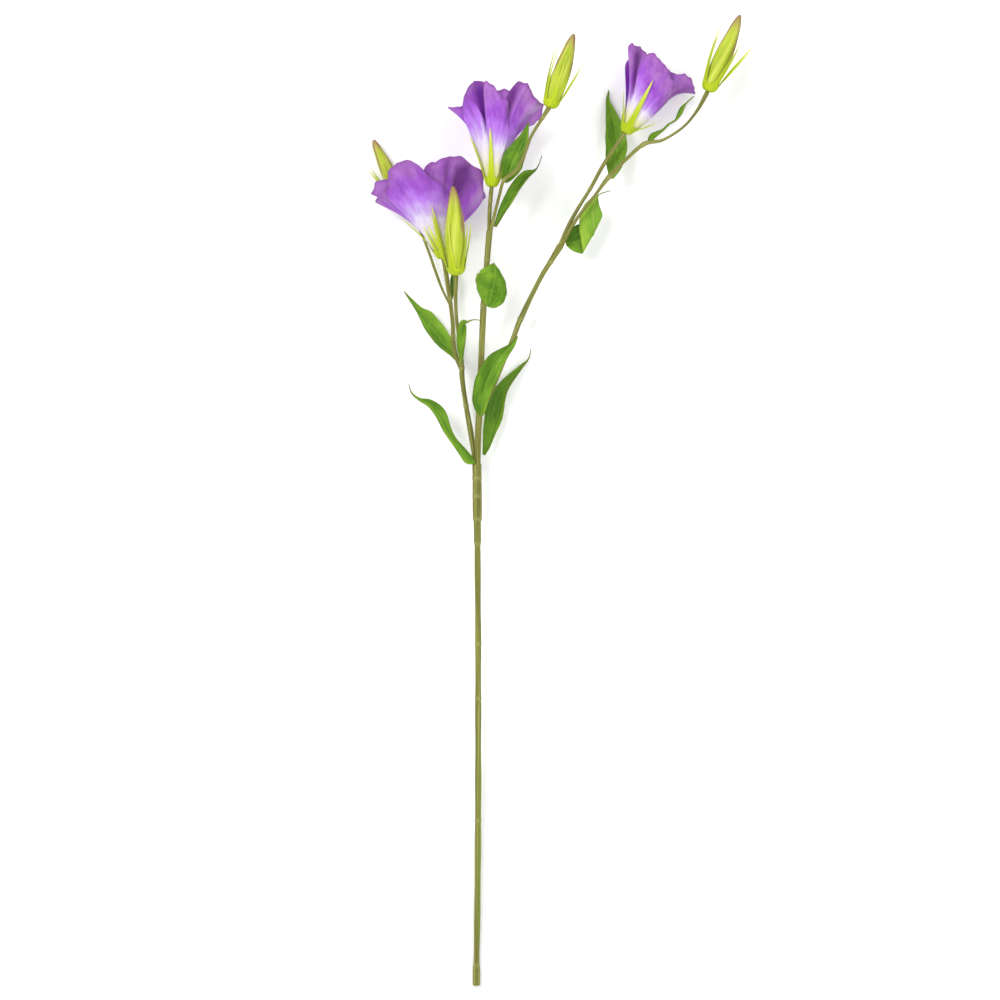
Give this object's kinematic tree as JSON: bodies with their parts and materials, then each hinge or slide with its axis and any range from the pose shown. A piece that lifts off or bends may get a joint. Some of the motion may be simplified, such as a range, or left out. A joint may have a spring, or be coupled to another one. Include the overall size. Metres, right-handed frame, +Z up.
{
  "type": "lisianthus flower",
  "caption": "Cut lisianthus stem lying flat, with open violet blooms, closed green buds and leaves.",
  "frame": {"origin": "centre of the spray's outline on the surface that it lies on", "axes": "+Y along the main stem from its cut end towards the blooms, +Z up from the surface, +X to the right as seen from above with the blooms away from the viewer"},
  "size_m": [0.3027, 0.7981, 0.0687],
  "materials": {
    "stem": "olive green with paler ring joints, satin",
    "leaf": "mid green, matt, veined, thin reddish edge",
    "petal": "violet fading to white and yellow-green at the foot, matt, finely veined",
    "calyx": "bright yellow-green, satin",
    "bud": "lime with mauve-brown folds and tip, matt",
    "heart": "yellow-green, matt"
  },
  "bodies": {
    "root": {"bloom_stem_left": "stem", "bloom_stem_middle": "stem", "bloom_stem_right": "stem", "bud_stem_far_left": "stem", "bud_stem_left": "stem", "bud_stem_middle": "stem", "bud_stem_right": "stem", "left_branch": "stem", "main_stem": "stem", "middle_branch": "stem", "right_branch": "stem", "leaf_left_bloom_stem_back": "leaf", "leaf_left_node_front": "leaf", "leaf_left_node_outer": "leaf", "leaf_main_node_left": "leaf", "leaf_main_node_right": "leaf", "leaf_middle_bud_stem": "leaf", "leaf_middle_fork_right": "leaf", "leaf_middle_node_front": "leaf", "leaf_middle_stem_front": "leaf", "leaf_right_bud_node_back": "leaf", "leaf_right_bud_stem_small": "leaf", "leaf_right_fork_folded": "leaf", "petal_left_1": "petal", "petal_left_2": "petal", "petal_left_3": "petal", "petal_left_4": "petal", "petal_left_5": "petal", "petal_middle_1": "petal", "petal_middle_2": "petal", "petal_middle_3": "petal", "petal_middle_4": "petal", "petal_middle_5": "petal", "petal_right_1": "petal", "petal_right_2": "petal", "petal_right_3": "petal", "petal_right_4": "petal", "petal_right_5": "petal", "calyx_bud_far_left": "calyx", "calyx_bud_left": "calyx", "calyx_bud_middle": "calyx", "calyx_bud_right": "calyx", "calyx_left": "calyx", "calyx_middle": "calyx", "calyx_right": "calyx", "bud_far_left": "bud", "bud_left": "bud", "bud_middle": "bud", "bud_right": "bud", "pistil_left": "heart", "pistil_middle": "heart", "pistil_right": "heart", "stamens_left": "heart", "stamens_middle": "heart", "stamens_right": "heart"}
  },
  "joints": []
}
